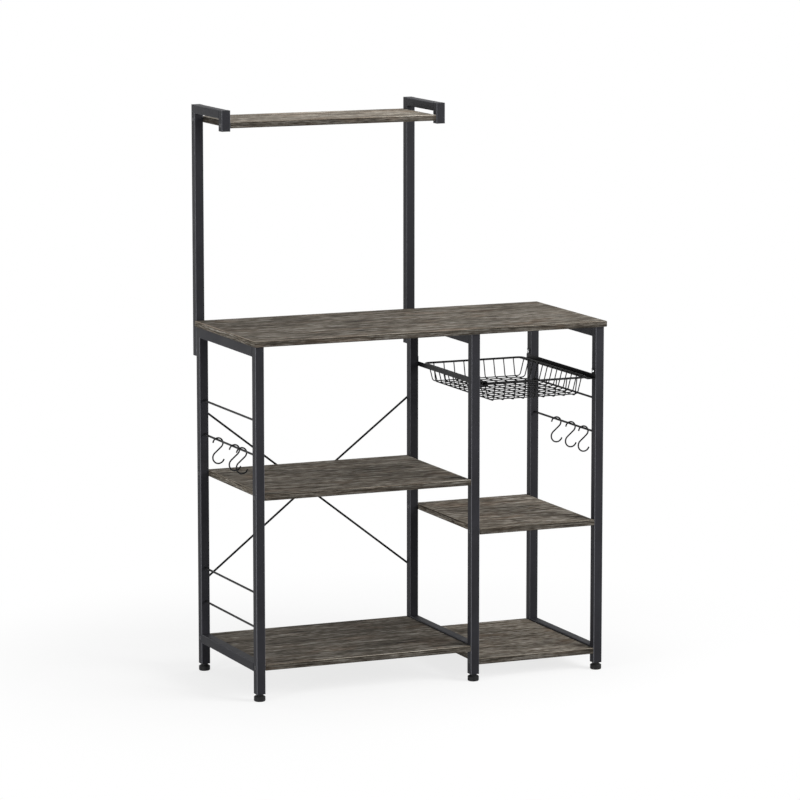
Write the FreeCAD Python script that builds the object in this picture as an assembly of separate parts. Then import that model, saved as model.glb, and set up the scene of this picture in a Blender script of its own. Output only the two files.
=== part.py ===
"""Kitchen microwave stand: side frames, boards, a hutch, a sliding wire basket and S hooks.

Frame: millimetres, +Z up, +X to the right and +Y to the back as seen from the front.
The origin is on the floor, below the middle of the overall box.
"""

import FreeCAD
import Part

import math
import os

V = FreeCAD.Vector

# Boards
WORKTOP_WIDTH = 900.0
WORKTOP_DEPTH = 392.0
WORKTOP_TOP = 848.0
BOARD = 14.0
BOARD_EDGE = 0.6
LEFT_SHELF_TOP = 488.0
RIGHT_SHELF_TOP = 368.0
LEFT_BASE_TOP = 87.0
RIGHT_BASE_TOP = 54.0

# Square steel tube of the side frames and the hutch
TUBE = 22.0
TUBE_WALL = 1.5
TUBE_CORNER = 2.0
SIDE_OVERHANG = 4.0
FRONT_OVERHANG = 8.0
LEFT_BAY = 524.0
LEG_BASE = 17.5
TOP_RAIL = 25.0
BASE_RAIL = 22.0

# Hutch above the left bay
HUTCH_TOP = 1361.5
HUTCH_BASE = 763.0
ARM_REACH = 201.0
ARM_TUBE = 20.0
HUTCH_SHELF_GAP = 8.0
HUTCH_SHELF_SETBACK = 2.0
ARM_END_LIP = 7.0

# Wire rungs welded between the legs of the outer side frames
RUNG = 5.0
HOOK_RUNG_Z = 577.0
UPPER_RUNG_Z = 658.5
LOWER_RUNGS_Z = (252.5, 171.0)

# Cross brace behind the left bay
BRACE_ROD = 5.0
BRACE_TAB = 14.0
BRACE_TAB_PLATE = 2.0
BRACE_ROD_SETBACK = 4.7
BRACE_HIGH_Z = 637.0
BRACE_LOW_Z = 213.0
BRACE_CROSSING_GAP = 0.5
BRACE_BEND = 300.0

# Screws with a hexagon socket: pan heads, and flush countersunk heads in the shelf ends
SCREW = 5.0
SCREW_CLEARANCE = 0.1
SCREW_HEAD = 9.0
SCREW_HEAD_CROWN = 6.0
SCREW_HEAD_HEIGHT = 2.4
SCREW_SOCKET = 3.0
SCREW_SOCKET_DEPTH = 1.4
SCREW_BITE = 24.0
WORKTOP_BITE = 10.0
UPRIGHT_SCREW_MARGIN = 18.0
WORKTOP_SCREW_MARGIN = 60.0

# Levelling feet
FOOT_PAD = 27.0
FOOT_PAD_HEIGHT = 12.5
FOOT_ROUND = 3.0
FOOT_NECK = 17.0
FOOT_STUD = 8.0
FOOT_STUD_CLEARANCE = 0.05
INSERT_LENGTH = 24.0
INSERT_CLEARANCE = 0.1
SEAT_GAP = 0.3

# Wire basket and the rails that it slides on
RAIL_PLATE = 1.5
RAIL_BOTTOM = 709.0
RAIL_HEIGHT = 11.0
RAIL_FLANGE = 21.0
RAIL_TAB_WIDTH = 16.0
RAIL_TAB_RISE = 13.0
RAIL_BITE = 12.0
BASKET_SIDE_GAP = 15.8
BASKET_RIM = 5.0
BASKET_WIRE = 2.6
BASKET_FRONT_SETBACK = 4.0
BASKET_BACK_SETBACK = 8.0
BASKET_DROP = 44.0
BASKET_WALL_LEAN = 11.0
BASKET_BEND = 9.0
BASKET_RIM_CORNER = 14.0
BASKET_LONG_WIRES = 9
BASKET_LONG_MARGIN = 24.4
BASKET_CROSS_WIRES = 13
BASKET_CROSS_MARGIN = 21.5
WELD_SINK = 0.4

# S hooks
HOOK_WIRE = 3.6
HOOK_TOP_RADIUS = 12.5
HOOK_FOOT_RADIUS = 14.5
HOOK_CENTRES = 34.5
HOOK_HANG_ANGLE = -2.2
HOOK_TAIL_ANGLE = 172.0
HOOK_TIP_ANGLE = 340.0
LEFT_HOOKS_FROM_FRONT = (119.0, 165.0, 273.0)
RIGHT_HOOKS_FROM_FRONT = (88.0, 159.0, 239.0)

# Places worked out from the sizes above
FRONT = -(WORKTOP_DEPTH + TUBE + SCREW_HEAD_HEIGHT) / 2
BACK = FRONT + WORKTOP_DEPTH
LEFT = -WORKTOP_WIDTH / 2
RIGHT = WORKTOP_WIDTH / 2
WORKTOP_UNDERSIDE = WORKTOP_TOP - BOARD
LEFT_FRAME_X = LEFT + SIDE_OVERHANG
MIDDLE_FRAME_X = LEFT_FRAME_X + TUBE + LEFT_BAY
RIGHT_FRAME_X = RIGHT - SIDE_OVERHANG - TUBE
FRAMES_X = {"left": LEFT_FRAME_X, "middle": MIDDLE_FRAME_X, "right": RIGHT_FRAME_X}
FRONT_LEG_Y = FRONT + FRONT_OVERHANG
BACK_LEG_Y = BACK - TUBE
LEGS_Y = {"front": FRONT_LEG_Y, "back": BACK_LEG_Y}
LEFT_BAY_X = (LEFT_FRAME_X + TUBE, MIDDLE_FRAME_X)
RIGHT_BAY_X = (MIDDLE_FRAME_X + TUBE, RIGHT_FRAME_X)
LEFT_RAIL_Z = LEFT_BASE_TOP - BOARD / 2 - BASE_RAIL / 2
RIGHT_RAIL_Z = RIGHT_BASE_TOP - BOARD / 2 - BASE_RAIL / 2
BASE_RAILS_Z = {"left": LEFT_RAIL_Z, "middle": LEFT_RAIL_Z, "right": RIGHT_RAIL_Z}
ARM_FRONT = BACK + TUBE - ARM_REACH
HUTCH_SHELF_TOP = HUTCH_TOP - ARM_TUBE - HUTCH_SHELF_GAP
ARM_END_BASE = HUTCH_SHELF_TOP - BOARD - ARM_END_LIP
SCREW_HOLE = SCREW + 2 * SCREW_CLEARANCE

AXES = (V(1, 0, 0), V(0, 1, 0), V(0, 0, 1))
DIRECTION_TOLERANCE = 0.01


def save(name, shapes):
    """Writes one node: a single solid, or a group of separate solids."""
    shapes = shapes if isinstance(shapes, list) else [shapes]
    solids = [solid for shape in shapes for solid in shape.Solids]
    for solid in solids:
        assert solid.isValid() and solid.Volume > 0, name
    node = solids[0] if len(solids) == 1 else Part.makeCompound(solids)
    node.exportStep(os.path.join("parts", name + ".step"))
    print(name, len(solids), "solid(s)", round(sum(s.Volume for s in solids) / 1000, 1), "cm3")


def box(low, high):
    return Part.makeBox(high.x - low.x, high.y - low.y, high.z - low.z, low)


def edges_along(shape, direction):
    def strays(edge):
        return edge.tangentAt(edge.FirstParameter).cross(direction).Length > DIRECTION_TOLERANCE
    return [edge for edge in shape.Edges if not strays(edge)]


def tube(low, high, axis):
    """Square tube with rounded corners that runs along AXES[axis] and is open at its ends."""
    along = AXES[axis]
    outside = box(low, high)
    outside = outside.makeFillet(TUBE_CORNER, edges_along(outside, along))
    wall = (V(1, 1, 1) - along) * TUBE_WALL
    return outside.cut(box(low + wall, high - wall))


def drill(shape, point, direction, length, diameter=SCREW_HOLE):
    return shape.cut(Part.makeCylinder(diameter / 2, length, point, direction))


def hexagon_socket(top, direction):
    """Six-sided recess that a key turns, cut into a screw's head from top."""
    side = direction.cross(V(0, 0, 1) if abs(direction.z) < 0.5 else V(1, 0, 0))
    across = direction.cross(side)
    reach = SCREW_SOCKET / math.sqrt(3)
    corners = []
    for step in range(7):
        angle = math.radians(60 * step)
        corners.append(top + side * (reach * math.cos(angle)) + across * (reach * math.sin(angle)))
    return Part.Face(Part.makePolygon(corners)).extrude(direction * SCREW_SOCKET_DEPTH)


def screw(seat, direction, length):
    """Pan-head screw whose head bears on seat and whose shank runs along direction."""
    back = direction * -1
    half_head = SCREW_HEAD_HEIGHT / 2
    shank = Part.makeCylinder(SCREW / 2, length, seat, direction)
    rim = Part.makeCylinder(SCREW_HEAD / 2, half_head, seat, back)
    crown = SCREW_HEAD_CROWN / 2
    dome = Part.makeCone(SCREW_HEAD / 2, crown, half_head, seat + back * half_head, back)
    head_top = seat + back * SCREW_HEAD_HEIGHT
    return shank.fuse([rim, dome]).removeSplitter().cut(hexagon_socket(head_top, direction))


def countersink(seat, direction):
    """Right-angled cone of a flush head and of the hole that takes it."""
    depth = (SCREW_HEAD - SCREW) / 2
    return Part.makeCone(SCREW_HEAD / 2, SCREW / 2, depth, seat, direction)


def flush_screw(seat, direction, length):
    """Countersunk screw whose head ends level with seat."""
    shank = Part.makeCylinder(SCREW / 2, length, seat, direction)
    return shank.fuse(countersink(seat, direction)).cut(hexagon_socket(seat, direction))


def wire(edges, start, direction, diameter):
    """Round wire swept along edges from start."""
    section = Part.Wire(Part.makeCircle(diameter / 2, start, direction))
    return Part.Wire(edges).makePipeShell([section], True, False)


def rounded_path(points, radius, closed=False):
    """Straight runs through points, with a tangent arc of radius at each corner."""
    count = len(points)
    corners = range(count) if closed else range(1, count - 1)
    bends = {}
    for i in corners:
        before = (points[i - 1] - points[i]).normalize()
        after = (points[(i + 1) % count] - points[i]).normalize()
        half = before.getAngle(after) / 2
        reach = radius / math.tan(half)
        middle = (before + after).normalize() * (radius / math.sin(half) - radius)
        bends[i] = (points[i] + before * reach, points[i] + middle, points[i] + after * reach)
    edges = []
    for i in range(count if closed else count - 1):
        j = (i + 1) % count
        start = bends[i][2] if i in bends else points[i]
        end = bends[j][0] if j in bends else points[j]
        edges.append(Part.LineSegment(start, end).toShape())
        if j in bends:
            edges.append(Part.Arc(*bends[j]).toShape())
    return edges


def board(low, high):
    """Laminated board with a small broken edge all round."""
    plain = box(low, high)
    return plain.makeChamfer(BOARD_EDGE, plain.Edges)


def shelf_screw_places(bay_x, middle_z, ys):
    """Head seat and direction of the four screws that hold a shelf between two frames."""
    places = []
    for y in ys:
        places.append((V(bay_x[0] - TUBE, y, middle_z), V(1, 0, 0)))
        places.append((V(bay_x[1] + TUBE, y, middle_z), V(-1, 0, 0)))
    return places


def drill_shelf(shape, places):
    for seat, direction in places:
        shape = drill(shape, seat, direction, TUBE + SCREW_BITE + SCREW_CLEARANCE)
    return shape


LEG_CENTRES_Y = [y + TUBE / 2 for y in LEGS_Y.values()]
HUTCH_CENTRES_Y = [ARM_FRONT + TUBE / 2, BACK + TUBE / 2]
SHELVES = {
    "left_shelf": (LEFT_BAY_X, LEFT_SHELF_TOP, (FRONT_LEG_Y, BACK), LEG_CENTRES_Y),
    "right_shelf": (RIGHT_BAY_X, RIGHT_SHELF_TOP, (FRONT_LEG_Y, BACK), LEG_CENTRES_Y),
    "left_base_shelf": (LEFT_BAY_X, LEFT_BASE_TOP, (FRONT_LEG_Y, BACK), LEG_CENTRES_Y),
    "right_base_shelf": (RIGHT_BAY_X, RIGHT_BASE_TOP, (FRONT_LEG_Y, BACK), LEG_CENTRES_Y),
    "hutch_shelf": (
        LEFT_BAY_X, HUTCH_SHELF_TOP, (ARM_FRONT + HUTCH_SHELF_SETBACK, BACK + TUBE), HUTCH_CENTRES_Y),
}


def make_shelves():
    """Five shelves between the frames, and the screws through the tubes into their ends."""
    screws, places_of_all = [], []
    for name, (bay_x, top, (front, back), ys) in SHELVES.items():
        places = shelf_screw_places(bay_x, top - BOARD / 2, ys)
        shelf = board(V(bay_x[0], front, top - BOARD), V(bay_x[1], back, top))
        save(name, drill_shelf(shelf, places))
        screws += [flush_screw(seat, direction, TUBE + SCREW_BITE) for seat, direction in places]
        places_of_all += places
    save("shelf_screws", screws)
    return places_of_all


def drilled_for_shelves(shape, places):
    """Cuts the holes of those shelf screws that pass through shape."""
    bounds = shape.BoundBox
    for seat, direction in places:
        if bounds.isInside(seat + direction * (TUBE / 2)):
            shape = drill(shape, seat, direction, TUBE).cut(countersink(seat, direction))
    return shape


def upright_screw_places(x):
    heights = (HUTCH_BASE + UPRIGHT_SCREW_MARGIN, WORKTOP_UNDERSIDE - UPRIGHT_SCREW_MARGIN)
    return [V(x + TUBE / 2, BACK + TUBE, z) for z in heights]


def brace_places():
    """Middle of the four brace tabs on the back of the left and middle back legs."""
    xs = (LEFT_FRAME_X + TUBE / 2, MIDDLE_FRAME_X + TUBE / 2)
    return {(side, level): V(x, BACK, z) for side, x in zip(("left", "right"), xs)
            for level, z in (("high", BRACE_HIGH_Z), ("low", BRACE_LOW_Z))}


def basket_rail_places():
    """Head seat and direction of the screws in the tabs of the two basket rails."""
    z = RAIL_BOTTOM + RAIL_HEIGHT + RAIL_TAB_RISE / 2
    places = []
    for y in LEG_CENTRES_Y:
        places.append((V(RIGHT_BAY_X[0] + RAIL_PLATE, y, z), V(-1, 0, 0)))
        places.append((V(RIGHT_BAY_X[1] - RAIL_PLATE, y, z), V(1, 0, 0)))
    return places


def make_legs(shelf_places):
    """Six legs; the back ones also take the hutch uprights and the cross brace."""
    for side, x in FRAMES_X.items():
        for end, y in LEGS_Y.items():
            leg = tube(V(x, y, LEG_BASE), V(x + TUBE, y + TUBE, WORKTOP_UNDERSIDE), 2)
            leg = drilled_for_shelves(leg, shelf_places)
            for seat, direction in basket_rail_places():
                if leg.BoundBox.isInside(seat + direction * (RAIL_PLATE + TUBE / 2)):
                    leg = drill(leg, seat, direction, RAIL_PLATE + RAIL_BITE)
            if end == "back" and side != "right":
                for place in upright_screw_places(x):
                    leg = drill(leg, place, V(0, -1, 0), 2 * TUBE - TUBE_WALL)
                for place in brace_places().values():
                    if abs(place.x - x - TUBE / 2) < TUBE / 2:
                        leg = drill(leg, place, V(0, -1, 0), TUBE - TUBE_WALL)
            save(f"{side}_{end}_leg", leg)


def worktop_screw_places():
    z = WORKTOP_UNDERSIDE - TOP_RAIL
    ys = (FRONT_LEG_Y + TUBE + WORKTOP_SCREW_MARGIN, BACK_LEG_Y - WORKTOP_SCREW_MARGIN)
    return [V(x + TUBE / 2, y, z) for x in FRAMES_X.values() for y in ys]


def make_rails():
    """Top rail and base rail of each side frame, welded between its two legs."""
    for side, x in FRAMES_X.items():
        low = V(x, FRONT_LEG_Y + TUBE, WORKTOP_UNDERSIDE - TOP_RAIL)
        top_rail = tube(low, V(x + TUBE, BACK_LEG_Y, WORKTOP_UNDERSIDE), 1)
        for place in worktop_screw_places():
            if top_rail.BoundBox.isInside(place + V(0, 0, TOP_RAIL / 2)):
                top_rail = drill(top_rail, place, V(0, 0, 1), TOP_RAIL)
        save(f"{side}_top_rail", top_rail)
        z = BASE_RAILS_Z[side]
        low = V(x, FRONT_LEG_Y + TUBE, z)
        save(f"{side}_base_rail", tube(low, V(x + TUBE, BACK_LEG_Y, z + BASE_RAIL), 1))


def make_rungs():
    """Wire rungs between the legs; the hooks hang on the second one from the top."""
    rungs = {"left_hook_rung": ("left", HOOK_RUNG_Z), "right_hook_rung": ("right", HOOK_RUNG_Z),
             "left_upper_rung": ("left", UPPER_RUNG_Z), "right_upper_rung": ("right", UPPER_RUNG_Z),
             "left_lower_rung": ("left", LOWER_RUNGS_Z[0]), "left_lowest_rung": ("left", LOWER_RUNGS_Z[1])}
    start_y = FRONT_LEG_Y + TUBE
    for name, (side, z) in rungs.items():
        start = V(FRAMES_X[side] + TUBE / 2, start_y, z)
        save(name, Part.makeCylinder(RUNG / 2, BACK_LEG_Y - start_y, start, V(0, 1, 0)))


def make_worktop():
    top = board(V(LEFT, FRONT, WORKTOP_UNDERSIDE), V(RIGHT, BACK, WORKTOP_TOP))
    screws = []
    for place in worktop_screw_places():
        top = drill(top, place, V(0, 0, 1), TOP_RAIL + WORKTOP_BITE + SCREW_CLEARANCE)
        screws.append(screw(place, V(0, 0, 1), TOP_RAIL + WORKTOP_BITE))
    save("worktop", top)
    save("worktop_screws", screws)


def closed_tube(low, high):
    """Upright tube with a plate welded into its top end."""
    wall = V(TUBE_WALL, TUBE_WALL, 0)
    lid = box(V(low.x, low.y, high.z - TUBE_WALL) + wall, high - wall)
    return tube(low, high, 2).fuse(lid).removeSplitter()


def end_cap(x, y, z):
    """Plastic plug pressed into the lower end of a square tube."""
    wall = TUBE_WALL + INSERT_CLEARANCE
    plate = box(V(x, y, z - TUBE_WALL), V(x + TUBE, y + TUBE, z))
    plate = plate.makeFillet(TUBE_CORNER, edges_along(plate, V(0, 0, 1)))
    plug = box(V(x + wall, y + wall, z), V(x + TUBE - wall, y + TUBE - wall, z + TUBE / 2 - wall))
    return plate.fuse(plug)


def make_hutch(shelf_places):
    """Two uprights bolted behind the back legs, each with an arm and a short drop at its end."""
    caps, screws = [], []
    for side, x in (("left", LEFT_FRAME_X), ("right", MIDDLE_FRAME_X)):
        upright = closed_tube(V(x, BACK, HUTCH_BASE + TUBE_WALL), V(x + TUBE, BACK + TUBE, HUTCH_TOP))
        upright = drilled_for_shelves(upright, shelf_places)
        for place in upright_screw_places(x):
            upright = drill(upright, place, V(0, -1, 0), TUBE)
            screws.append(screw(place, V(0, -1, 0), 2 * (TUBE - TUBE_WALL)))
        save(f"{side}_upright", upright)
        arm_low = V(x, ARM_FRONT + TUBE, HUTCH_TOP - ARM_TUBE)
        save(f"{side}_arm", tube(arm_low, V(x + TUBE, BACK, HUTCH_TOP), 1))
        drop_base = ARM_END_BASE + TUBE_WALL
        drop = closed_tube(V(x, ARM_FRONT, drop_base), V(x + TUBE, ARM_FRONT + TUBE, HUTCH_TOP))
        save(f"{side}_arm_end", drilled_for_shelves(drop, shelf_places))
        caps += [end_cap(x, ARM_FRONT, drop_base), end_cap(x, BACK, HUTCH_BASE + TUBE_WALL)]
    save("tube_end_caps", caps)
    save("upright_screws", screws)


def make_brace():
    """Two crossed rods with flattened ends, screwed to the back of the legs of the left bay."""
    places = brace_places()
    inset = V(0, BRACE_ROD / 2, 0)
    crossing_bow = BRACE_ROD + BRACE_CROSSING_GAP
    screws = []
    for name, (start, end), bow in (
            ("brace_falling", (places["left", "high"], places["right", "low"]), 0.0),
            ("brace_rising", (places["left", "low"], places["right", "high"]), crossing_bow)):
        along = (end - start).normalize()
        first = start + along * BRACE_ROD_SETBACK + inset
        last = end - along * BRACE_ROD_SETBACK + inset
        if bow:
            middle = (first + last) * 0.5 + V(0, bow, 0)
            rod = wire(rounded_path([first, middle, last], BRACE_BEND), first, middle - first, BRACE_ROD)
        else:
            rod = Part.makeCylinder(BRACE_ROD / 2, first.distanceToPoint(last), first, along)
        tabs = [Part.makeCylinder(BRACE_TAB / 2, BRACE_TAB_PLATE, p, V(0, 1, 0)) for p in (start, end)]
        brace = rod.fuse(tabs)
        for place in (start, end):
            room = SCREW_HEAD / 2 + SEAT_GAP
            brace = drill(brace, place, V(0, 1, 0), BRACE_ROD * 2)
            brace = drill(brace, place + V(0, BRACE_TAB_PLATE, 0), V(0, 1, 0), BRACE_ROD * 2, 2 * room)
            length = BRACE_TAB_PLATE + TUBE - 2 * TUBE_WALL
            screws.append(screw(place + V(0, BRACE_TAB_PLATE, 0), V(0, -1, 0), length))
        save(name, brace)
    save("brace_screws", screws)


def make_feet():
    """Six levelling feet and the threaded plugs that they turn in."""
    wall = TUBE_WALL + INSERT_CLEARANCE
    plugs = []
    for side, x in FRAMES_X.items():
        for end, y in LEGS_Y.items():
            middle = V(x + TUBE / 2, y + TUBE / 2, 0)
            plug_top = LEG_BASE + INSERT_LENGTH
            plug = box(V(x + wall, y + wall, LEG_BASE), V(x + TUBE - wall, y + TUBE - wall, plug_top))
            bore = FOOT_STUD + 2 * FOOT_STUD_CLEARANCE
            plugs.append(drill(plug, middle + V(0, 0, LEG_BASE), V(0, 0, 1), INSERT_LENGTH, bore))
            pad, neck, stud = FOOT_PAD / 2, FOOT_NECK / 2, FOOT_STUD / 2
            shoulder = LEG_BASE - SEAT_GAP
            top = plug_top - SEAT_GAP
            lines = [V(0, 0, 0), V(pad - FOOT_ROUND, 0, 0)]
            halfway = FOOT_ROUND * (1 - math.sqrt(0.5))
            arc = Part.Arc(lines[-1], V(pad - halfway, 0, halfway), V(pad, 0, FOOT_ROUND))
            outline = [V(pad, 0, FOOT_ROUND), V(pad, 0, FOOT_PAD_HEIGHT - FOOT_ROUND / 2),
                       V(pad - FOOT_ROUND / 2, 0, FOOT_PAD_HEIGHT), V(neck, 0, FOOT_PAD_HEIGHT),
                       V(neck, 0, shoulder), V(stud, 0, shoulder), V(stud, 0, top), V(0, 0, top), V(0, 0, 0)]
            profile = Part.Wire([Part.makeLine(*lines), arc.toShape()] +
                                [Part.makeLine(a, b) for a, b in zip(outline, outline[1:])])
            foot = Part.Face(profile).revolve(V(0, 0, 0), V(0, 0, 1), 360)
            foot.translate(middle)
            save(f"{side}_{end}_foot", foot)
    save("foot_plugs", plugs)


def make_basket_rails():
    """Angle rails on the inner faces of the right bay's legs; the basket's rim slides on them."""
    screws = [screw(seat, direction, RAIL_PLATE + RAIL_BITE) for seat, direction in basket_rail_places()]
    for side, x, inward in (("left", RIGHT_BAY_X[0], 1), ("right", RIGHT_BAY_X[1], -1)):
        def plate(x_reach, y0, y1, z0, z1):
            xs = sorted((x, x + inward * x_reach))
            return box(V(xs[0], y0, z0), V(xs[1], y1, z1))
        web = plate(RAIL_PLATE, FRONT_LEG_Y, BACK, RAIL_BOTTOM, RAIL_BOTTOM + RAIL_HEIGHT)
        flange = plate(RAIL_FLANGE, FRONT_LEG_Y, BACK, RAIL_BOTTOM, RAIL_BOTTOM + RAIL_PLATE)
        tab_z = RAIL_BOTTOM + RAIL_HEIGHT
        half = RAIL_TAB_WIDTH / 2
        tabs = [plate(RAIL_PLATE, y - half, y + half, tab_z, tab_z + RAIL_TAB_RISE) for y in LEG_CENTRES_Y]
        rail = web.fuse([flange] + tabs).removeSplitter()
        for seat, direction in basket_rail_places():
            if seat.distanceToPoint(V(x, seat.y, seat.z)) < TUBE:
                rail = drill(rail, seat, direction, RAIL_PLATE)
        save(f"basket_{side}_rail", rail)
    save("basket_rail_screws", screws)


def make_basket():
    """Welded wire basket: a thick rim, wires bent up front to back, and wires bent up across them."""
    gap = RAIL_PLATE + BASKET_SIDE_GAP + BASKET_RIM / 2
    left, right = RIGHT_BAY_X[0] + gap, RIGHT_BAY_X[1] - gap
    front = FRONT_LEG_Y + BASKET_FRONT_SETBACK + BASKET_RIM / 2
    back = BACK - BASKET_BACK_SETBACK - BASKET_RIM / 2
    rim_z = RAIL_BOTTOM + RAIL_PLATE + SEAT_GAP + BASKET_RIM / 2
    corners = ((left, front), (right, front), (right, back), (left, back))
    rim_edges = rounded_path([V(x, y, rim_z) for x, y in corners], BASKET_RIM_CORNER, closed=True)
    start = rim_edges[0].valueAt(rim_edges[0].FirstParameter)
    save("basket_rim", wire(rim_edges, start, V(1, 0, 0), BASKET_RIM))

    inside = (BASKET_RIM + BASKET_WIRE) / 2 - WELD_SINK
    hang_z = rim_z + BASKET_RIM / 4
    floor_z = rim_z - BASKET_DROP
    step_up = BASKET_WIRE - WELD_SINK

    def bent(points):
        edges = rounded_path(points, BASKET_BEND)
        return wire(edges, points[0], (points[1] - points[0]).normalize(), BASKET_WIRE)

    long_wires = []
    pitch = (right - left - 2 * BASKET_LONG_MARGIN) / (BASKET_LONG_WIRES - 1)
    for i in range(BASKET_LONG_WIRES):
        x = left + BASKET_LONG_MARGIN + pitch * i
        y0, y1 = front + inside, back - inside
        long_wires.append(bent([V(x, y0, hang_z), V(x, y0 + BASKET_WALL_LEAN, floor_z),
                                V(x, y1 - BASKET_WALL_LEAN, floor_z), V(x, y1, hang_z)]))
    save("basket_long_wires", long_wires)

    cross_wires = []
    pitch = (back - front - 2 * BASKET_CROSS_MARGIN) / (BASKET_CROSS_WIRES - 1)
    for i in range(BASKET_CROSS_WIRES):
        y = front + BASKET_CROSS_MARGIN + pitch * i
        z = floor_z + step_up
        x0, x1 = left + inside, right - inside
        cross_wires.append(bent([V(x0, y, hang_z), V(x0 + BASKET_WALL_LEAN, y, z),
                                 V(x1 - BASKET_WALL_LEAN, y, z), V(x1, y, hang_z)]))
    save("basket_cross_wires", cross_wires)


def make_hooks():
    """S hooks of bent wire that hang on the hook rungs, tilted to where they balance."""
    lean = math.asin((HOOK_TOP_RADIUS + HOOK_FOOT_RADIUS) / HOOK_CENTRES)
    drop = HOOK_TOP_RADIUS - HOOK_WIRE / 2 - SEAT_GAP - RUNG / 2

    def at(centre, radius, angle):
        return centre + V(math.cos(angle), 0, math.sin(angle)) * radius

    for side, places in (("left", LEFT_HOOKS_FROM_FRONT), ("right", RIGHT_HOOKS_FROM_FRONT)):
        for number, from_front in enumerate(places, 1):
            upper = V(FRAMES_X[side] + TUBE / 2, FRONT_LEG_Y + from_front, HOOK_RUNG_Z - drop)
            lower = upper - V(0, 0, HOOK_CENTRES)
            tail = math.radians(HOOK_TAIL_ANGLE)
            tip = math.radians(HOOK_TIP_ANGLE)
            over = [at(upper, HOOK_TOP_RADIUS, a) for a in (tail, (tail - lean) / 2, -lean)]
            turn = math.pi - lean
            under = [at(lower, HOOK_FOOT_RADIUS, a) for a in (turn, (turn + tip) / 2, tip)]
            edges = [Part.Arc(*over).toShape(), Part.LineSegment(over[2], under[0]).toShape(),
                     Part.Arc(*under).toShape()]
            heading = V(math.sin(tail), 0, -math.cos(tail))
            hook = wire(edges, over[0], heading, HOOK_WIRE)
            rung = V(upper.x, upper.y, HOOK_RUNG_Z)
            hook.rotate(rung, V(0, 1, 0), HOOK_HANG_ANGLE)
            save(f"{side}_hook_{number}", hook)


def main():
    os.makedirs("parts", exist_ok=True)
    shelf_places = make_shelves()
    make_legs(shelf_places)
    make_rails()
    make_rungs()
    make_worktop()
    make_hutch(shelf_places)
    make_brace()
    make_feet()
    make_basket_rails()
    make_basket()
    make_hooks()


main()
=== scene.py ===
"""Kitchen microwave stand with a hutch, a wire basket and S hooks: its finish, light and camera."""

import math

import bmesh
import bpy
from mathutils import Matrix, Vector


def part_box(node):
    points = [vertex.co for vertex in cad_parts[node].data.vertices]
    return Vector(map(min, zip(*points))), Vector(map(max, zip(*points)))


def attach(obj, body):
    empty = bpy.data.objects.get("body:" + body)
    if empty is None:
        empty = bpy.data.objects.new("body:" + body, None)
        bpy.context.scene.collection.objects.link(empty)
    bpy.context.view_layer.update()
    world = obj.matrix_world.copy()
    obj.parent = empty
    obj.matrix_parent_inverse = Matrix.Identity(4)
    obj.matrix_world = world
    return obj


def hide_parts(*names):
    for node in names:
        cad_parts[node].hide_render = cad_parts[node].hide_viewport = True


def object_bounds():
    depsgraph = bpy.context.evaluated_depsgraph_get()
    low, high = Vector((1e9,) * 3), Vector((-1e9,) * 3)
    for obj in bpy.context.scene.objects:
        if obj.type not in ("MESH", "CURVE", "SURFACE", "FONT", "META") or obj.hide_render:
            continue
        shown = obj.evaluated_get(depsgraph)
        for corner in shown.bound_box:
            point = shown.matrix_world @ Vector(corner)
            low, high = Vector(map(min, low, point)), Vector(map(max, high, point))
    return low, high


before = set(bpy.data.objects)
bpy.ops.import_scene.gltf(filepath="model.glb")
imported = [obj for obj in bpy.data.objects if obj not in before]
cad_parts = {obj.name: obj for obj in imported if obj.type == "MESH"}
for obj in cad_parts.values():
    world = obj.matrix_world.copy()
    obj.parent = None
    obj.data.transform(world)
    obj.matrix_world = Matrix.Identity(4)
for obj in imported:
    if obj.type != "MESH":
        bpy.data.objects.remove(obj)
cad_low, cad_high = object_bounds()


# Side frames
# Six legs of 22 mm square steel tube with a top rail and a base rail between each pair.
# Each frame is welded, ground flush on its outer faces and powder coated in one piece.

MM = 0.001


def colour(hex_code):
    """Linear RGBA of an sRGB hex colour."""
    channels = [int(hex_code[i:i + 2], 16) / 255 for i in (1, 3, 5)]
    return [c / 12.92 if c <= 0.04045 else ((c + 0.055) / 1.055) ** 2.4 for c in channels] + [1.0]


def feed(material, target, sources):
    """Links each source to the target node's socket of that name."""
    for name, source in sources.items():
        material.node_tree.links.new(source, target.inputs[name])


def node(material, kind, sources, values=(), stops=(), **settings):
    """Adds a shader node with its settings, socket values, links and colour stops."""
    made = material.node_tree.nodes.new(kind)
    for name, value in settings.items():
        setattr(made, name, value)
    for name, value in dict(values).items():
        made.inputs[name].default_value = value
    feed(material, made, sources)
    for number, (place, hex_code) in enumerate(stops):
        points = made.color_ramp.elements
        point = points[number] if number < len(points) else points.new(place)
        point.position = place
        point.color = colour(hex_code)
    return made


def new_material(name):
    """A new material and its shader."""
    material = bpy.data.materials.new(name)
    material.use_nodes = True
    return material, material.node_tree.nodes["Principled BSDF"]


# Powder coat on steel: an even satin skin that flowed as it baked, so it keeps a faint orange peel.
# It is charcoal with a cool cast. Upright corners are tinted paler: a painted highlight.
COAT_DARK = "#1b1b1e"
COAT_LIGHT = "#222226"
COAT_CORNER_HIGHLIGHT = "#626267"
COAT_ROUGHNESS = 0.56
COAT_SPECULAR = 0.1
COAT_CLOUD = 60 * MM
ORANGE_PEEL = 2.2 * MM
PEEL_DEPTH = 0.1 * MM

# How squarely a face looks along X or Y where the painted corner highlight starts, and where it is full.
# A lean up or down counts by the last factor, so that only upright corners get the painted highlight.
NO_CORNER_HIGHLIGHT = 0.97
FULL_CORNER_HIGHLIGHT = 0.8
LEVEL_FACES = 1.5


# corner is the colour of the painted highlight on upright corners.
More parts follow.
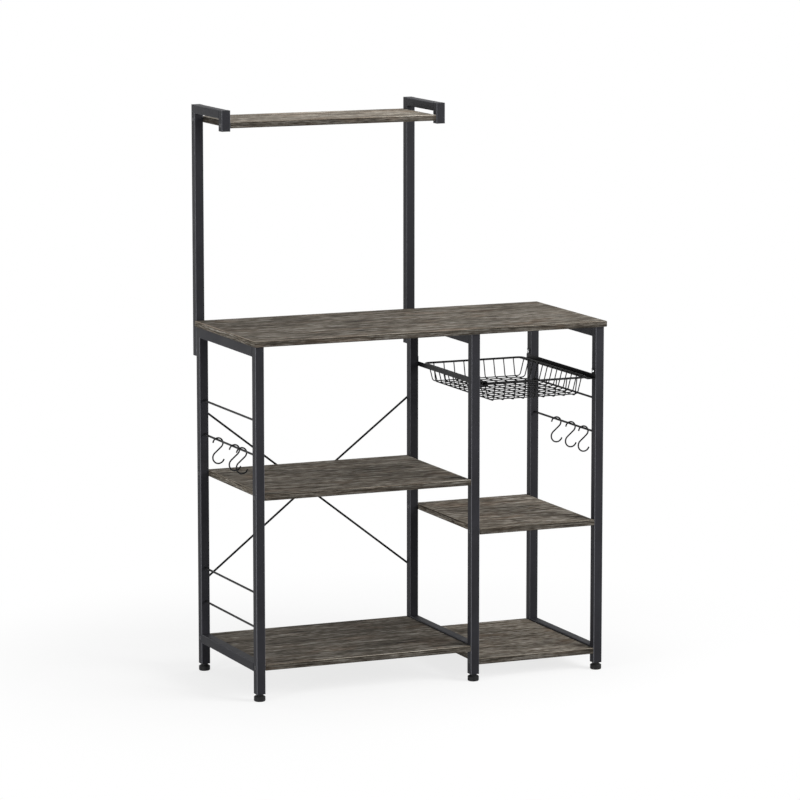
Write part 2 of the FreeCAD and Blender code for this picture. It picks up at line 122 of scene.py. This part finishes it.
def powder_coat(name, dark, light, corner, roughness):
    material, shader = new_material(name)
    coordinates = node(material, "ShaderNodeTexCoord", {}).outputs
    place = coordinates["Object"]
    cloud = node(material, "ShaderNodeTexNoise", {"Vector": place},
                 {"Scale": 1 / COAT_CLOUD, "Detail": 4.0, "Roughness": 0.55}).outputs["Fac"]
    tint = node(material, "ShaderNodeValToRGB", {"Fac": cloud}, stops=[(0.3, dark), (0.7, light)])
    facing = node(material, "ShaderNodeVectorMath", {0: coordinates["Normal"]}, operation="ABSOLUTE")
    facing = node(material, "ShaderNodeSeparateXYZ", {0: facing.outputs["Vector"]}).outputs
    upright = node(material, "ShaderNodeMath", {0: facing["X"], 1: facing["Y"]}, operation="MAXIMUM")
    level = node(material, "ShaderNodeMath", {0: facing["Z"]}, {1: LEVEL_FACES}, operation="MULTIPLY")
    square = node(material, "ShaderNodeMath", {0: upright.outputs[0], 1: level.outputs[0]},
                  operation="MAXIMUM")
    # Painted highlight: the further a face turns between X and Y, the more its colour goes to the corner
    # colour.
    corner_highlight_share = node(material, "ShaderNodeMapRange", {"Value": square.outputs[0]},
                {"From Min": NO_CORNER_HIGHLIGHT, "From Max": FULL_CORNER_HIGHLIGHT})
    tint = node(material, "ShaderNodeMix", {"Factor": corner_highlight_share.outputs["Result"], "A": tint.outputs["Color"]},
                {"B": colour(corner)}, data_type="RGBA")
    peel = node(material, "ShaderNodeTexNoise", {"Vector": place},
                {"Scale": 1 / ORANGE_PEEL, "Detail": 2.0, "Roughness": 0.5}).outputs["Fac"]
    bump = node(material, "ShaderNodeBump", {"Height": peel}, {"Strength": 0.12, "Distance": PEEL_DEPTH})
    gloss = node(material, "ShaderNodeMapRange", {"Value": cloud},
                 {"From Min": 0.3, "From Max": 0.7, "To Min": roughness - 0.05, "To Max": roughness + 0.06})
    feed(material, shader, {"Base Color": tint.outputs["Result"], "Roughness": gloss.outputs["Result"],
                            "Normal": bump.outputs["Normal"]})
    shader.inputs["Specular IOR Level"].default_value = COAT_SPECULAR
    return material


frame_coat = powder_coat("steel_powder_coated_charcoal", COAT_DARK, COAT_LIGHT, COAT_CORNER_HIGHLIGHT,
                         COAT_ROUGHNESS)


def finish_node(name, material):
    """Gives a CAD piece its finish."""
    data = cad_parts[name].data
    data.materials.clear()
    data.materials.append(material)


SIDES = ("left", "middle", "right")
ENDS = ("front", "back")
for side in SIDES:
    for end in ENDS:
        finish_node(f"{side}_{end}_leg", frame_coat)
    finish_node(f"{side}_top_rail", frame_coat)
    finish_node(f"{side}_base_rail", frame_coat)


# Wire rungs
# Straight 5 mm steel rods welded between the legs of the two outer frames.
# They are powder coated black, and look darker than the flat faces of the frames.
ROD_DARK = "#0a0a0b"
ROD_LIGHT = "#101011"
ROD_ROUGHNESS = 0.45
rod_coat = powder_coat("steel_rod_powder_coated_black", ROD_DARK, ROD_LIGHT, ROD_LIGHT, ROD_ROUGHNESS)
RUNGS = ("left_hook_rung", "right_hook_rung", "left_upper_rung", "right_upper_rung",
         "left_lower_rung", "left_lowest_rung")
for name in RUNGS:
    finish_node(name, rod_coat)


# Levelling feet
# Moulded black polypropylene pads, each on a threaded stud that turns in a square plug.
# The plugs are pressed into the legs, and caps of the same plastic close the tubes of the hutch.

# Moulded polypropylene: black all through, with the dull fine grain of an etched mould.
# The grain is drawn coarser than a real one, so that it can show on so small a piece.
PLASTIC_DARK = "#0b0b0c"
PLASTIC_LIGHT = "#121213"
PLASTIC_ROUGHNESS = 0.6
PLASTIC_SPECULAR = 0.2
PLASTIC_GRAIN = 1.2 * MM
GRAIN_DEPTH = 0.1 * MM


def moulded_plastic(name, dark, light, roughness):
    material, shader = new_material(name)
    place = node(material, "ShaderNodeTexCoord", {}).outputs["Object"]
    grain = node(material, "ShaderNodeTexNoise", {"Vector": place},
                 {"Scale": 1 / PLASTIC_GRAIN, "Detail": 3.0}).outputs["Fac"]
    tint = node(material, "ShaderNodeValToRGB", {"Fac": grain}, stops=[(0.35, dark), (0.65, light)])
    bump = node(material, "ShaderNodeBump", {"Height": grain}, {"Strength": 0.2, "Distance": GRAIN_DEPTH})
    gloss = node(material, "ShaderNodeMapRange", {"Value": grain},
                 {"To Min": roughness - 0.08, "To Max": roughness + 0.08})
    feed(material, shader, {"Base Color": tint.outputs["Color"], "Roughness": gloss.outputs["Result"],
                            "Normal": bump.outputs["Normal"]})
    shader.inputs["Specular IOR Level"].default_value = PLASTIC_SPECULAR
    return material


foot_plastic = moulded_plastic("polypropylene_moulded_black", PLASTIC_DARK, PLASTIC_LIGHT,
                               PLASTIC_ROUGHNESS)
for side in SIDES:
    for end in ENDS:
        finish_node(f"{side}_{end}_foot", foot_plastic)
finish_node("foot_plugs", foot_plastic)
finish_node("tube_end_caps", foot_plastic)


# Boards
# 14 mm particle board faced with a printed oak paper and edged with a matching band.
# The bands are ironed on and trimmed with a small round. Under the round a nearly black line of painted
# shade runs along the face.

# Oak print: matt, faintly embossed paper. It shows grey and brown streaks, flecks, fine dark pores, a
# reddish cast in places, smudges where knots were, and weak saw marks across the grain. The figure is
# drawn a few times as coarse as a real print, because the boards are seen small and at a low angle.
# Each kind of mark has its breadth across the grain and its length along it.
BAND = (40 * MM, 190 * MM)
STREAK = (9 * MM, 130 * MM)
SHORT_STREAK = (6 * MM, 55 * MM)
FLECK = (4.5 * MM, 18 * MM)
PORE = (2.6 * MM, 32 * MM)
DARK_LINE = (11 * MM, 150 * MM)
RED_CAST = (60 * MM, 130 * MM)
KNOT_SMUDGE = (24 * MM, 75 * MM)
SAW_MARK = (70 * MM, 4 * MM)
PORE_DEPTH = 0.15 * MM
PORE_ROUGHNESS = 0.92
PAPER_ROUGHNESS = 0.78
OAK_SPECULAR = 0.12


def oak_print(name, along, lift, squeeze=1.0, stretch=1.0):
    """Oak paper with its grain along X or Y; lift is its paleness, and carries painted light and shade on
    board tops, arrises, seams and shaded ends; squeeze and stretch the grain's scale.
    """
    material, shader = new_material(name)
    place = node(material, "ShaderNodeTexCoord", {}).outputs["Object"]

    def grain(size, stops, detail=3.0, bend=0.0):
        """Noise drawn out along the grain, plain and coloured."""
        breadth, length = size[0] * squeeze, size[1] * stretch
        scale = Vector((1 / breadth, 1 / breadth, 1 / breadth))
        scale["XY".index(along)] = 1 / length
        drawn = node(material, "ShaderNodeMapping", {"Vector": place}, {"Scale": scale}).outputs["Vector"]
        noise = node(material, "ShaderNodeTexNoise", {"Vector": drawn},
                     {"Scale": 1.0, "Detail": detail, "Roughness": 0.6, "Distortion": bend}).outputs["Fac"]
        return noise, node(material, "ShaderNodeValToRGB", {"Fac": noise}, stops=stops).outputs["Color"]

    _, wood = grain(BAND, [(0.30, "#8f8d87"), (0.5, "#afaca6"), (0.70, "#c7c4be")], 3.0, 0.15)
    pores, fine = grain(PORE, [(0.36, "#b3ada6"), (0.5, "#eceae7"), (0.6, "#ffffff")])
    layers = [grain(STREAK, [(0.34, "#9a948c"), (0.47, "#d8d4cf"), (0.6, "#ffffff")], 2.0, 0.1)[1],
              grain(SHORT_STREAK, [(0.36, "#aea9a2"), (0.5, "#e8e6e3"), (0.62, "#ffffff")], 1.0)[1],
              grain(FLECK, [(0.38, "#b0aba5"), (0.5, "#e8e6e3"), (0.62, "#ffffff")], 0.5)[1],
              fine,
              grain(DARK_LINE, [(0.31, "#655d55"), (0.39, "#ffffff")], 2.0, 0.3)[1],
              grain(RED_CAST, [(0.54, "#ffffff"), (0.68, "#f1e5dc")], 2.0, 0.5)[1],
              grain(KNOT_SMUDGE, [(0.66, "#ffffff"), (0.76, "#5e564e")], 1.5, 0.4)[1],
              grain(SAW_MARK, [(0.42, "#f1efed"), (0.55, "#ffffff")])[1]]
    for layer in layers:
        wood = node(material, "ShaderNodeMix", {"A": wood, "B": layer}, {"Factor": 1.0},
                    data_type="RGBA", blend_type="MULTIPLY").outputs["Result"]
    tone_and_painted_light = node(material, "ShaderNodeHueSaturation", {"Color": wood}, {"Value": lift})
    bump = node(material, "ShaderNodeBump", {"Height": pores}, {"Strength": 0.3, "Distance": PORE_DEPTH})
    gloss = node(material, "ShaderNodeMapRange", {"Value": pores},
                 {"To Min": PORE_ROUGHNESS, "To Max": PAPER_ROUGHNESS})
    feed(material, shader, {"Base Color": tone_and_painted_light.outputs["Color"], "Roughness": gloss.outputs["Result"],
                            "Normal": bump.outputs["Normal"]})
    shader.inputs["Specular IOR Level"].default_value = OAK_SPECULAR
    return material


# The bands are narrow strips of the same print. The upper arris is paler, a painted highlight, and the line
# under it nearly black, painted shade, both in long streaks. The ends of the top shelf are darker: painted
# shade.
BAND_SQUEEZE = 0.3
FRONT_STRETCH = 4.0
END_STRETCH = 8.0
FRONT_LIFT = 0.38
FRONT_ARRIS_HIGHLIGHT_LIFT = 1.4
END_LIFT = 0.8
END_ARRIS_HIGHLIGHT_LIFT = 2.1
PAINTED_SHADE_END_LIFT = 0.25
SEAM_SHADE_LIFT = 0.09
oak_front = oak_print("oak_print_edge_band", "X", FRONT_LIFT, BAND_SQUEEZE)
oak_arris_highlight = oak_print("oak_print_arris_painted_highlight", "X", FRONT_ARRIS_HIGHLIGHT_LIFT, BAND_SQUEEZE, FRONT_STRETCH)
oak_seam_shade = oak_print("oak_print_seam_painted_shade", "X", SEAM_SHADE_LIFT, BAND_SQUEEZE, FRONT_STRETCH)
oak_end = oak_print("oak_print_end_band", "Y", END_LIFT, BAND_SQUEEZE)
oak_end_arris_highlight = oak_print("oak_print_end_arris_painted_highlight", "Y", END_ARRIS_HIGHLIGHT_LIFT, BAND_SQUEEZE, END_STRETCH)
oak_end_seam_shade = oak_print("oak_print_end_seam_painted_shade", "Y", SEAM_SHADE_LIFT, BAND_SQUEEZE, END_STRETCH)
oak_painted_shade_end = oak_print("oak_print_end_band_painted_shade", "Y", PAINTED_SHADE_END_LIFT, BAND_SQUEEZE)

BOARD_EDGE_ROUND = 1.8 * MM

# How far a face's normal leans along any axis on a flat face, and upwards on the arris and the seam.
FLAT_LEAN = 0.999
ARRIS_LEAN = 0.5
SEAM_LEAN = 0.1


def mesh_object(name, mesh):
    """Makes an object of a bmesh and puts it in the scene."""
    made = bpy.data.objects.new(name, bpy.data.meshes.new(name))
    mesh.to_mesh(made.data)
    mesh.free()
    bpy.context.scene.collection.objects.link(made)
    return made


def board(node_name, tone_and_painted_light, end_band=oak_end, end_arris=oak_end_arris_highlight):
    """Board with rounded edges; its top's paleness is painted light and shade, set after the light each
    board gets.
    """
    oak_face = oak_print("oak_print_laminate_" + node_name, "X", tone_and_painted_light)
    finishes = [end_band, oak_front, oak_face, oak_arris_highlight, oak_seam_shade, end_arris, oak_end_seam_shade]
    low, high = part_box(node_name)
    slab = bmesh.new()
    bmesh.ops.create_cube(slab, size=1.0)
    bmesh.ops.scale(slab, vec=high - low, verts=slab.verts)
    bmesh.ops.translate(slab, vec=(low + high) / 2, verts=slab.verts)
    bmesh.ops.bevel(slab, geom=slab.edges[:], offset=BOARD_EDGE_ROUND, affect="EDGES", segments=3,
                    profile=0.5, material=-1)
    for face in slab.faces:
        flat = [abs(part) > FLAT_LEAN for part in face.normal]
        at_end = abs(face.normal.x) > abs(face.normal.y)
        if any(flat):
            finish = (end_band, oak_front, oak_face)[flat.index(True)]
        # Painted highlight: the upper arris faces get the paler print.
        elif face.normal.z > ARRIS_LEAN:
            finish = end_arris if at_end else oak_arris_highlight
        # Painted shade: the faces just under the arris get a nearly black line.
        elif face.normal.z > SEAM_LEAN:
            finish = oak_end_seam_shade if at_end else oak_seam_shade
        else:
            finish = oak_front
        face.material_index = finishes.index(finish)
        face.smooth = True
    piece = mesh_object(node_name + "_board", slab)
    for finish in finishes:
        piece.data.materials.append(finish)
    piece.modifiers.new("flat_faces", "WEIGHTED_NORMAL")
    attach(piece, "stand")
    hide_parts(node_name)


# Painted light and shade: each board's top is made paler or darker after the light that falls on it.
board("left_base_shelf", tone_and_painted_light=0.7)
board("right_base_shelf", tone_and_painted_light=1.19)
board("left_shelf", tone_and_painted_light=1.03)
board("right_shelf", tone_and_painted_light=1.28)
board("worktop", tone_and_painted_light=0.85)
# Painted shade: the top shelf's ends are darkened where the arms shade them.
board("hutch_shelf", tone_and_painted_light=0.93, end_band=oak_painted_shade_end, end_arris=oak_painted_shade_end)


# Screws
# Steel screws with a hexagon socket: flush countersunk heads in the shelf ends, pan heads elsewhere.
# They are blackened, except those of the basket rails, which are bright zinc.

# Plated steel: bare metal under a thin plating that clouds a little from place to place.
BLACKENED_DARK = "#2a2a2b"
BLACKENED_LIGHT = "#3a3a3c"
BLACKENED_ROUGHNESS = 0.4
ZINC_DARK = "#b4b6b8"
ZINC_LIGHT = "#d0d2d3"
ZINC_ROUGHNESS = 0.32
PLATING_CLOUD = 3 * MM


def plated_steel(name, dark, light, roughness):
    material, shader = new_material(name)
    place = node(material, "ShaderNodeTexCoord", {}).outputs["Object"]
    cloud = node(material, "ShaderNodeTexNoise", {"Vector": place},
                 {"Scale": 1 / PLATING_CLOUD, "Detail": 4.0}).outputs["Fac"]
    tint = node(material, "ShaderNodeValToRGB", {"Fac": cloud}, stops=[(0.3, dark), (0.7, light)])
    gloss = node(material, "ShaderNodeMapRange", {"Value": cloud},
                 {"To Min": roughness - 0.1, "To Max": roughness + 0.1})
    feed(material, shader, {"Base Color": tint.outputs["Color"], "Roughness": gloss.outputs["Result"]})
    shader.inputs["Metallic"].default_value = 1.0
    return material


black_screw = plated_steel("steel_screw_blackened", BLACKENED_DARK, BLACKENED_LIGHT, BLACKENED_ROUGHNESS)
bright_screw = plated_steel("steel_screw_zinc_plated", ZINC_DARK, ZINC_LIGHT, ZINC_ROUGHNESS)
for name in ("shelf_screws", "worktop_screws", "upright_screws", "brace_screws"):
    finish_node(name, black_screw)
finish_node("basket_rail_screws", bright_screw)


# Cross brace
# Two 5 mm steel rods with flattened ends, crossed behind the left bay so that it can't rack.
# They are powder coated black and screwed to the back legs.
for name in ("brace_falling", "brace_rising"):
    finish_node(name, rod_coat)


# Hutch
# Two uprights of the frames' square tube, screwed behind the left and middle back legs.
# Each has an arm to the front, 20 mm high, that ends in a short drop.
# The top shelf is screwed between the uprights at the back and the drops at the front.
for side in ("left", "right"):
    for part in ("upright", "arm", "arm_end"):
        finish_node(f"{side}_{part}", frame_coat)


# Basket rails
# Angles bent from 1.5 mm steel sheet and screwed to the legs of the right bay.
# They are coated black like the basket, whose rim slides along them.
for side in ("left", "right"):
    finish_node(f"basket_{side}_rail", rod_coat)


# Wire basket
# 2.6 mm steel wires bent into troughs, crossed, and spot-welded to each other and to a 5 mm rim.
# The basket is powder coated black in one piece, and slides out to the front on its rails.
for name in ("basket_rim", "basket_long_wires", "basket_cross_wires"):
    finish_node(name, rod_coat)


# S hooks
# Bent from 3.6 mm steel wire, one loop to the left and one to the right, and coated black.
# They hang loose on the hook rungs and can swing.
for side in ("left", "right"):
    for number in (1, 2, 3):
        finish_node(f"{side}_hook_{number}", rod_coat)


# Floor
# Matt white studio paper under the stand; it keeps the stand's shadow.
# Further out it glows for the camera and in reflections, so that it runs out to the white background.
FLOOR_REACH = 14.0
SHADOW_REACH = (0.5, 1.3)
SHADOW_GLOW = 0.78


def shown_ray(material):
    """1 for rays from the camera and from mirrors or glass, 0 for the rays that only carry light."""
    ray = node(material, "ShaderNodeLightPath", {}).outputs
    shown = node(material, "ShaderNodeMath", {0: ray["Is Camera Ray"], 1: ray["Is Glossy Ray"]},
                 operation="MAXIMUM")
    shown = node(material, "ShaderNodeMath", {0: shown.outputs[0], 1: ray["Is Transmission Ray"]},
                 operation="MAXIMUM")
    return shown.outputs[0]


floor_mesh = bmesh.new()
bmesh.ops.create_grid(floor_mesh, x_segments=1, y_segments=1, size=FLOOR_REACH)
floor = mesh_object("floor", floor_mesh)
paper, paper_shader = new_material("paper_matt_white")
paper_shader.inputs["Base Color"].default_value = colour("#f4f4f4")
paper_shader.inputs["Roughness"].default_value = 0.9
paper_shader.inputs["Specular IOR Level"].default_value = 0.1
glow = node(paper, "ShaderNodeEmission", {}, {"Color": colour("#ffffff"), "Strength": 1.0})
spot = node(paper, "ShaderNodeTexCoord", {}).outputs["Object"]
far = node(paper, "ShaderNodeVectorMath", {0: spot}, operation="LENGTH").outputs["Value"]
fade = node(paper, "ShaderNodeMapRange", {"Value": far},
            {"From Min": SHADOW_REACH[0], "From Max": SHADOW_REACH[1],
             "To Min": SHADOW_GLOW, "To Max": 1.0}, interpolation_type="SMOOTHSTEP")
glowing = node(paper, "ShaderNodeMath", {0: shown_ray(paper), 1: fade.outputs["Result"]},
               operation="MULTIPLY")
paper_mix = node(paper, "ShaderNodeMixShader",
                 {0: glowing.outputs[0], 1: paper_shader.outputs[0], 2: glow.outputs[0]})
feed(paper, paper.node_tree.nodes["Material Output"], {"Surface": paper_mix.outputs[0]})
floor.data.materials.append(paper)


# Light
# A white room with a large soft box at the front right and a small one above the top shelf.
# A narrow one at the left draws the corners of the tubes, and a weak one behind lifts their left faces.
ROOM_LIGHT = 0.3
world = bpy.data.worlds.new("white_room")
world.use_nodes = True
bpy.context.scene.world = world
room = world.node_tree.nodes["Background"]
room.inputs["Color"].default_value = colour("#ffffff")
brightness = node(world, "ShaderNodeMapRange", {"Value": shown_ray(world)},
                  {"To Min": ROOM_LIGHT, "To Max": 1.0})
feed(world, room, {"Strength": brightness.outputs["Result"]})
middle = (cad_low + cad_high) / 2


def soft_box(name, direction, distance, size, power):
    """Square area lamp that faces the middle of the stand."""
    lamp = bpy.data.lights.new(name, "AREA")
    lamp.size = size
    lamp.energy = power
    holder = bpy.data.objects.new(name, lamp)
    back = Vector(direction).normalized()
    holder.location = middle + back * distance
    holder.rotation_euler = (-back).to_track_quat("-Z", "Y").to_euler()
    bpy.context.scene.collection.objects.link(holder)


soft_box("soft_box_above", direction=(0.0, 0.1, 1.0), distance=1.3, size=0.9, power=10)
soft_box("soft_box_right", direction=(0.9, -1.0, 0.52), distance=3.4, size=1.8, power=132)
soft_box("soft_box_left", direction=(-0.9, -0.45, -0.06), distance=3.0, size=1.0, power=50)
soft_box("soft_box_back_left", direction=(-0.55, 0.8, 0.15), distance=3.2, size=2.2, power=9)


# Camera
# The photograph's viewing point, found by fitting the stand's corners to the picture.
# It looks down on the stand from the left with a long lens.
PHOTO_SIZE = 800
PHOTO_FOCAL = 4157.13
SENSOR = 36.0
CAMERA_PLACE = (-3.89482, -9.00025, 2.17953)
CAMERA_DIP = 8.832
CAMERA_TURN = -23.4165
CAMERA_CLIP = 60
lens = bpy.data.cameras.new("camera")
lens.sensor_width = SENSOR
lens.lens = SENSOR * PHOTO_FOCAL / PHOTO_SIZE
lens.clip_end = CAMERA_CLIP
camera = bpy.data.objects.new("camera", lens)
camera.location = CAMERA_PLACE
camera.rotation_euler = (math.radians(90 - CAMERA_DIP), 0.0, math.radians(CAMERA_TURN))
bpy.context.scene.collection.objects.link(camera)
bpy.context.scene.camera = camera
bpy.context.scene.view_settings.view_transform = "Standard"
